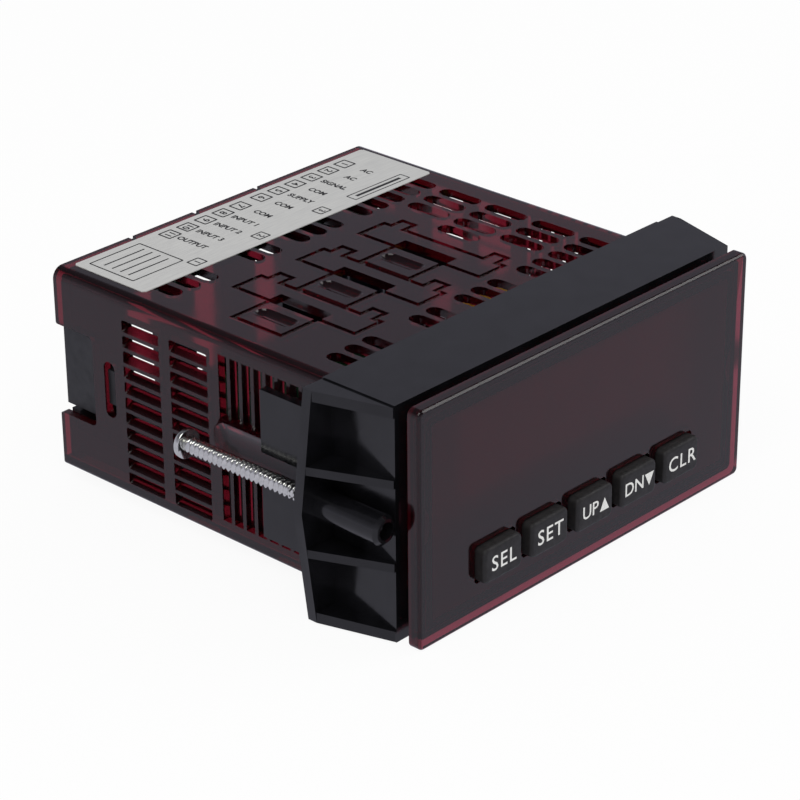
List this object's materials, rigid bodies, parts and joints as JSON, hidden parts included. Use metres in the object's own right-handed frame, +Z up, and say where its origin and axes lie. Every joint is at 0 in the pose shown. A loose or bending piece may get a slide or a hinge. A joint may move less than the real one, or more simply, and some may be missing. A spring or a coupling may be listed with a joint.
{
  "type": "digital panel meter",
  "caption": "Panel meter in a vented smoked-plastic case with a one-piece bezel and rubber keys, held in a panel cut-out by a ratchet latch and long screws.",
  "frame": {"origin": "centre of the bezel's rear face", "axes": "+X to the right as seen from the front, +Y from the front to the back, +Z up"},
  "size_m": [0.1152, 0.1053, 0.05],
  "materials": {
    "smoked_red_plastic": "gloss",
    "black_nylon": "satin",
    "plated_steel": "satin",
    "key_rubber": "matt",
    "black_rubber": "matt",
    "board_laminate": "satin",
    "digit_plastic": "gloss",
    "black_plastic": "matt",
    "lamination_steel": "satin",
    "coil_tape": "gloss",
    "capacitor_sleeve": "gloss",
    "terminal_plastic": "satin",
    "silver_label": "satin"
  },
  "bodies": {
    "meter": {"case": "smoked_red_plastic", "panel_gasket": "black_rubber", "keypad_mat": "black_rubber", "display_board": "board_laminate", "main_board": "board_laminate", "terminal_board": "board_laminate", "board_header": "black_plastic", "transformer_core": "lamination_steel", "transformer_coil": "coil_tape", "processor_chip": "black_plastic", "terminal_screws": "plated_steel", "rear_cover": "black_plastic", "base_rail_left": "black_plastic", "base_rail_right": "black_plastic", "terminal_label": "silver_label", "capacitor_1": "capacitor_sleeve", "capacitor_2": "capacitor_sleeve", "terminal_block_5": "terminal_plastic", "terminal_block_6": "terminal_plastic", "led_digit_1": "digit_plastic", "led_digit_2": "digit_plastic", "led_digit_3": "digit_plastic", "led_digit_4": "digit_plastic", "led_digit_5": "digit_plastic", "option_connector_1": "black_plastic", "option_connector_2": "black_plastic", "option_connector_3": "black_plastic"},
    "latch": {"panel_latch": "black_nylon"},
    "key_select": {"key_select": "key_rubber"},
    "key_set": {"key_set": "key_rubber"},
    "key_up": {"key_up": "key_rubber"},
    "key_down": {"key_down": "key_rubber"},
    "key_clear": {"key_clear": "key_rubber"},
    "latch_screw_left": {"latch_screw_left": "plated_steel"},
    "latch_screw_right": {"latch_screw_right": "plated_steel"}
  },
  "joints": [
    {"name": "key_select_press", "type": "slide", "parent": "meter", "child": "key_select", "axis": [0, 1, 0], "range_m": [0, 0.001], "stiffness_N_per_m": 1500},
    {"name": "key_set_press", "type": "slide", "parent": "meter", "child": "key_set", "axis": [0, 1, 0], "range_m": [0, 0.001], "stiffness_N_per_m": 1500},
    {"name": "key_up_press", "type": "slide", "parent": "meter", "child": "key_up", "axis": [0, 1, 0], "range_m": [0, 0.001], "stiffness_N_per_m": 1500},
    {"name": "key_down_press", "type": "slide", "parent": "meter", "child": "key_down", "axis": [0, 1, 0], "range_m": [0, 0.001], "stiffness_N_per_m": 1500},
    {"name": "key_clear_press", "type": "slide", "parent": "meter", "child": "key_clear", "axis": [0, 1, 0], "range_m": [0, 0.001], "stiffness_N_per_m": 1500},
    {"name": "latch_ratchet", "type": "slide", "parent": "meter", "child": "latch", "axis": [0, 1, 0], "range_m": [0, 0.0195]},
    {"name": "latch_screw_left_feed", "type": "slide", "parent": "latch", "child": "latch_screw_left", "axis": [0, 1, 0], "range_m": [-0.034, 0.012]},
    {"name": "latch_screw_right_feed", "type": "slide", "parent": "latch", "child": "latch_screw_right", "axis": [0, 1, 0], "range_m": [-0.034, 0.012]}
  ]
}
